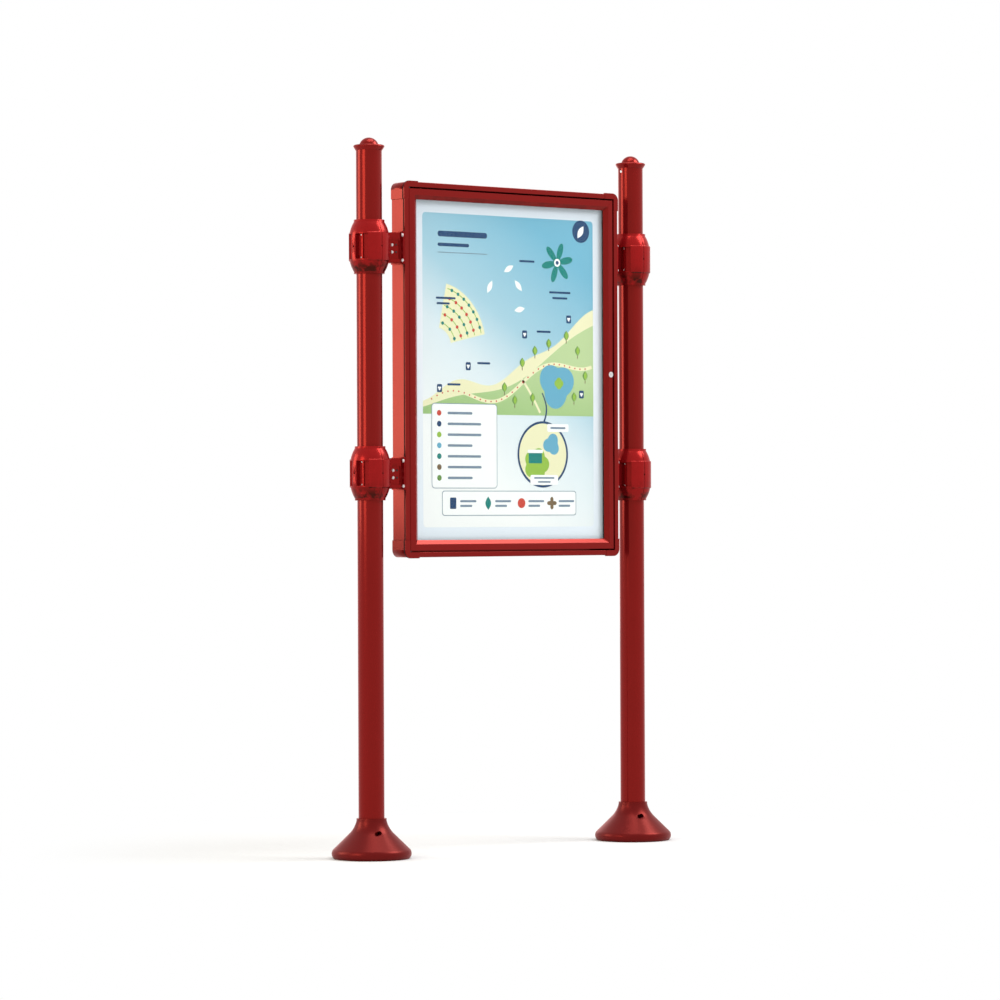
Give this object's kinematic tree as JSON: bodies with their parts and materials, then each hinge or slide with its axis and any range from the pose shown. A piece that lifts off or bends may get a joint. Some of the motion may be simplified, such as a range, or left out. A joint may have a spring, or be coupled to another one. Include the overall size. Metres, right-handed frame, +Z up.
{
  "type": "outdoor notice board",
  "caption": "Outdoor notice board: a lockable glazed display case with rounded cast corners, held by cast collars with arms between round posts with flared caps and cast base covers.",
  "frame": {"origin": "ground level, midway between the posts", "axes": "+Z up, -Y the side that the board is read from, +X to the reader's right"},
  "size_m": [1.256, 0.234, 2.105],
  "materials": {
    "tube_paint": "gloss dark red paint on steel tube",
    "cast_paint": "gloss dark red paint on cast metal, slightly uneven",
    "profile_paint": "gloss dark red paint on drawn profile",
    "tray_enamel": "pale grey enamel",
    "galvanised_steel": "galvanised",
    "stainless_steel": "stainless steel",
    "printed_paper": "printed sheet, satin",
    "clear_glass": "clear",
    "black_rubber": "matt black"
  },
  "bodies": {
    "frame": {"post_left": "tube_paint", "foot_plate_left": "galvanised_steel", "base_cover_left": "cast_paint", "cap_left": "cast_paint", "collar_upper_left_inner": "cast_paint", "collar_upper_left_outer": "cast_paint", "collar_lower_left_inner": "cast_paint", "collar_lower_left_outer": "cast_paint", "case_side_left": "profile_paint", "post_right": "tube_paint", "foot_plate_right": "galvanised_steel", "base_cover_right": "cast_paint", "cap_right": "cast_paint", "collar_upper_right_inner": "cast_paint", "collar_upper_right_outer": "cast_paint", "collar_lower_right_inner": "cast_paint", "collar_lower_right_outer": "cast_paint", "case_side_right": "profile_paint", "case_top": "profile_paint", "case_bottom_rail": "profile_paint", "corner_top_left": "cast_paint", "corner_bottom_left": "cast_paint", "corner_top_right": "cast_paint", "corner_bottom_right": "cast_paint", "back_panel": "profile_paint", "display_tray": "tray_enamel", "printed_sheet": "printed_paper", "hinge_pin": "stainless_steel", "latch_keeper": "stainless_steel"},
    "door": {"door_stile_hinge": "profile_paint", "door_stile_lock": "profile_paint", "door_rail_top": "profile_paint", "door_rail_bottom": "profile_paint", "door_glass": "clear_glass", "glazing_gasket": "black_rubber", "lock_barrel": "stainless_steel"},
    "lock": {"lock_plug": "stainless_steel", "lock_cam": "stainless_steel"}
  },
  "joints": [
    {"name": "door_hinge", "type": "hinge", "parent": "frame", "child": "door", "pos_m": [-0.3955, -0.0438, 1.4285], "axis": [0, 0, -1], "range_deg": [0, 100]},
    {"name": "lock_turn", "type": "hinge", "parent": "door", "child": "lock", "pos_m": [0.38625, -0.047, 1.4285], "axis": [0, -1, 0], "range_deg": [0, 90]}
  ]
}
